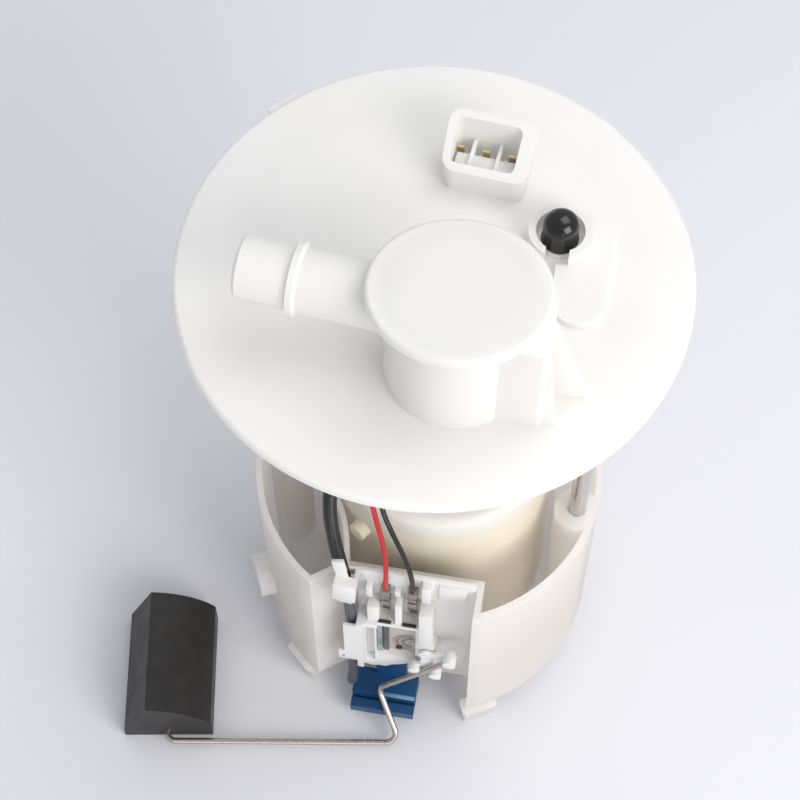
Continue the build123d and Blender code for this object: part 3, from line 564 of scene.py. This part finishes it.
ARC_X, ARC_Z = 2.6, 50.8          # middle of the rings printed on the card
BAR_BACK, BAR_FRONT = -52.9, -54.1
bars = [
    prism(box_outline(-10.2, -5.3, 75.0, 76.3), BAR_BACK, BAR_FRONT),
    prism(box_outline(-1.1, 4.1, 74.7, 76.0), BAR_BACK, BAR_FRONT),
]
contact = prism(box_outline(-10.9, -9.0, 43.0, 70.5), CARD, -52.3)
slot = prism(box_outline(-8.6, -6.7, 43.2, 70.8), CARD, -51.6)
ticks = [
    prism(arc_outline(ARC_X, ARC_Z, 5.6, 7.2, turn, turn + 4.5, 2), CARD, CARD - 0.12)
    for turn in range(92, 262, 9)
]
bands = [
    prism(arc_outline(ARC_X, ARC_Z, 3.3, 4.9, 82, 262), CARD, CARD - 0.16),
    prism(arc_outline(ARC_X, ARC_Z, 7.7, 8.0, 95, 250), CARD, CARD - 0.12),
    prism(arc_outline(ARC_X, ARC_Z, 1.5, 1.9, 70, 250), CARD, CARD - 0.12),
]
rivet = prism(round_outline(-2.9, 45.4, 1.2), CARD, CARD - 0.9)
dots = [
    prism(round_outline(-23.6, 42.2, 0.55), -56.0, -56.2),
    prism(round_outline(4.4, 46.6, 0.8, 0.4), FRONT + 0.1, FRONT - 0.1),
]
for name, blocks, edge, slot_name, material in (
    ("stop_bars", bars, 0.15, "cap_rubber", clip_dark),
    ("contact_strip", [contact], 0.15, "tinned_steel", strip_blue),
    ("slot_strip", [slot], 0.15, "tinned_steel", strip_dark),
    ("track_ticks", ticks, 0, "tinned_steel", tin),
    ("track_bands", bands, 0, "card_ceramic", ink),
    ("track_rivet", [rivet], 0.25, "contact_brass", rivet_red),
    ("marker_dots", dots, 0, "blue_plastic", marker),
):
    settle(moulding(name, blocks, [], edge), "reservoir", material)

for name, x, foot, low, high, lead in (
    ("terminal_red", -7.9, 76.0, 84.5, 98.0, lead_red),
    ("terminal_black", 2.2, 75.6, 85.5, 99.0, lead_black),
):
    middle = (low + high) / 2
    crimped = moulding(
        f"{name}_crimped",
        [
            prism(box_outline(x - 1.5, x + 1.5, foot, high - 1), PLATE - 0.1, PLATE - 0.7),
            prism(box_outline(x - 0.9, x + 0.9, foot + 2, low), PLATE - 0.2, PLATE - 1.5),
            prism(box_outline(x - 1.75, x + 1.75, low, middle - 1.6), PLATE - 0.1, -51.4),
            prism(box_outline(x - 1.35, x + 1.35, middle - 0.9, middle + 1.6), PLATE - 0.1, -51.2),
            prism(box_outline(x - 1.8, x + 1.8, middle + 2.4, high), PLATE - 0.1, -51.5),
        ],
        [], 0.3,
    )
    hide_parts(name)
    settle(crimped, "reservoir", tin)

# Painted highlight: a pale strip along the front top edge of the jet pump's block
highlight_strip = prism(box_outline(-8.0, 4.6, 12.2, 13.12), -57.7, -59.12)
settle(moulding("jet_edge_highlight", [highlight_strip], [], 0.1), "reservoir", blue_edge_highlight)

# Float arm's holder, with the lugs that the wire snaps into
holder = moulding(
    "holder_clip",
    [
        prism(round_outline(8.5, 55.0, 3.0), -55.1, -56.4),
        prism([(3.4, 45.6), (2.4, 43.4), (5.0, 42.2), (13.2, 39.6), (13.8, 41.8), (11.0, 50.0), (9.6, 56.5),
               (6.6, 55.5), (6.4, 47.0)], -55.1, -56.6),
        prism([(8.0, 53.0), (8.6, 56.8), (17.6, 60.2), (19.6, 57.6), (17.6, 55.4)], -55.1, -56.6),
        prism(round_outline(4.2, 43.8, 2.3, 2.0), -54.9, -58.8),
        prism(round_outline(12.4, 41.2, 2.3, 2.2), -54.9, -59.0),
        prism(round_outline(17.7, 57.9, 2.5, 2.7), -54.9, -60.2),
    ],
    [], 0.4,
)
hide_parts("arm_holder")
settle(holder, "float_arm", clip_white)

# Cable tie round the hose joint: strap, head and the tail pulled through it
tie_blocks = [
    prism([(-26.0, 101.5), (-17.6, 100.0), (-17.2, 113.2), (-25.0, 114.6)], -54.4, -58.4),
    prism([(-24.2, 97.6), (-19.0, 96.6), (-18.6, 101.0), (-24.4, 102.0)], -54.4, -57.4),
    prism([(-26.0, 125.2), (-21.8, 126.6), (-20.0, 112.0), (-24.2, 111.5)], -53.6, -54.9),
    prism(box_outline(-26.2, -17.4, 103.6, 109.0), -47.9, -56.2),
]
tie_cut = prism(box_outline(-25.0, -18.8, 90.0, 118.0), -48.8, -54.2)
tie = moulding("cable_tie", tie_blocks, [tie_cut], 0.35)
settle(tie, "reservoir", clip_white)

# Cover strip that closes the duct beside the turret's round cover
cover_strip = prism(box_outline(19.0, 41.0, 275.65, 277.2), -25.8, -49.2)
settle(moulding("duct_cover", [cover_strip], [], 0.4), "top", white)

# Ledge in the connector's socket, in front of the blades
TOP_TURN = -5.0
SOCKET_MIDDLE = Vector((10.1, 39.5, 0)) * MM
ledge = moulding("socket_ledge", [prism(box_outline(0.8, 20.0, 237.0, 244.6), 40.2, 33.9)], [], 0.4)
ledge.data.transform(
    Matrix.Translation(SOCKET_MIDDLE)
    @ Matrix.Rotation(math.radians(TOP_TURN), 4, "Z")
    @ Matrix.Translation(-SOCKET_MIDDLE)
)
settle(ledge, "top", white)


def turned_form(name, profile, x, y, sides=48):
    """A round piece about an upright axis, from radius and height pairs in millimetres."""
    form = bmesh.new()
    rings = []
    for radius, height in profile:
        ring = []
        for side in range(sides):
            turn = 2 * math.pi * side / sides
            ring.append(form.verts.new(
                ((x + radius * math.cos(turn)) * MM, (y + radius * math.sin(turn)) * MM, height * MM)
            ))
        rings.append(ring)
    wrap(form, rings)
    mesh = bpy.data.meshes.new(name)
    form.to_mesh(mesh)
    form.free()
    mesh.polygons.foreach_set("use_smooth", [True] * len(mesh.polygons))
    mesh.set_sharp_from_angle(angle=math.radians(50))
    return placed(name, mesh)


OUTLET = (37.5, 17.5)
CAP_FOOT = 238.0
CAP_RADIUS = 5.75
LIP_RADIUS = 6.05
DOME_FOOT = CAP_FOOT + 7.6
DOME_RISE = 4.9
dome_turns = [math.radians(degrees) for degrees in range(0, 88, 6)]
dome = [(CAP_RADIUS * math.cos(turn), DOME_FOOT + DOME_RISE * math.sin(turn)) for turn in dome_turns]
lip = [(LIP_RADIUS - 0.15, CAP_FOOT), (LIP_RADIUS, CAP_FOOT + 0.3), (LIP_RADIUS, CAP_FOOT + 0.9)]
cap_profile = lip + [(CAP_RADIUS, CAP_FOOT + 1.2)] + dome
moulded_cap = turned_form("dust_cap_dome", cap_profile, *OUTLET)
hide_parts("dust_cap")
settle(moulded_cap, "outlet_cap", black_gloss)

# The cup again, with its feet drawn in to its wall
CUP_RADIUS = 64.5 * MM
FOOT_TOP = 13.9 * MM     # just under the cup's base
BAY_SIDE = 25.7 * MM     # where the front foot starts, beside the sender's bay
cup = placed("cup_shell", nodes["reservoir_cup"].data.copy())
for corner in cup.data.vertices:
    place = corner.co
    if place.z >= FOOT_TOP:
        continue
    if 20 * MM < place.x < BAY_SIDE and place.y < -48 * MM:
        place.x = BAY_SIDE
    reach = math.hypot(place.x, place.y)
    if reach > CUP_RADIUS:
        place.x *= CUP_RADIUS / reach
        place.y *= CUP_RADIUS / reach
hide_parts("reservoir_cup")
settle(cup, "reservoir", cup_white)


# Stage: a pale floor that keeps its shadow, and soft studio light


def pale(name, lit):
    """A plain matt surface."""
    material = bpy.data.materials.new(name)
    material.use_nodes = True
    tree = material.node_tree
    surface = tree.nodes["Principled BSDF"]
    surface.inputs["Base Color"].default_value = (*lit, 1)
    surface.inputs["Roughness"].default_value = 0.9
    return material


floor_mesh = bpy.data.meshes.new("floor")
FLOOR_HALF = 3.0         # metres
FLOOR_DROP = 0.0002      # keeps it clear of the feet
floor_mesh.from_pydata(
    [(FLOOR_HALF * x, FLOOR_HALF * y, 0) for x, y in ((-1, -1), (1, -1), (1, 1), (-1, 1))], [], [(0, 1, 2, 3)]
)
floor = placed("floor", floor_mesh)
floor.location.z = -FLOOR_DROP
floor_mesh.materials.append(pale("floor", (0.72, 0.72, 0.75)))
floor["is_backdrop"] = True

world = bpy.data.worlds.new("world")
bpy.context.scene.world = world
world.use_nodes = True
sky = world.node_tree.nodes["Background"]
sky.inputs["Color"].default_value = (0.93, 0.95, 1.0, 1)
sky.inputs["Strength"].default_value = 0.62


def softbox(name, place, aim, width, height, power, colour=(1, 1, 1)):
    """An area lamp that looks at a point."""
    data = bpy.data.lights.new(name, "AREA")
    data.shape = "RECTANGLE"
    data.size, data.size_y = width, height
    data.energy = power
    data.color = colour
    lamp = bpy.data.objects.new(name, data)
    lamp.location = place
    lamp.rotation_mode = "QUATERNION"
    lamp.rotation_quaternion = (Vector(aim) - Vector(place)).to_track_quat("-Z", "Y")
    bpy.context.scene.collection.objects.link(lamp)


centre = (0, 0, 0.12)
softbox("key", (0.95, -0.75, 0.85), centre, 0.9, 0.9, 14.0, (1.0, 0.985, 0.965))
softbox("top", (0.35, 0.35, 1.3), centre, 0.8, 0.8, 5.0)
softbox("low_front", (0.1, -1.1, 0.28), centre, 0.7, 0.4, 1.6)

low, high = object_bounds()
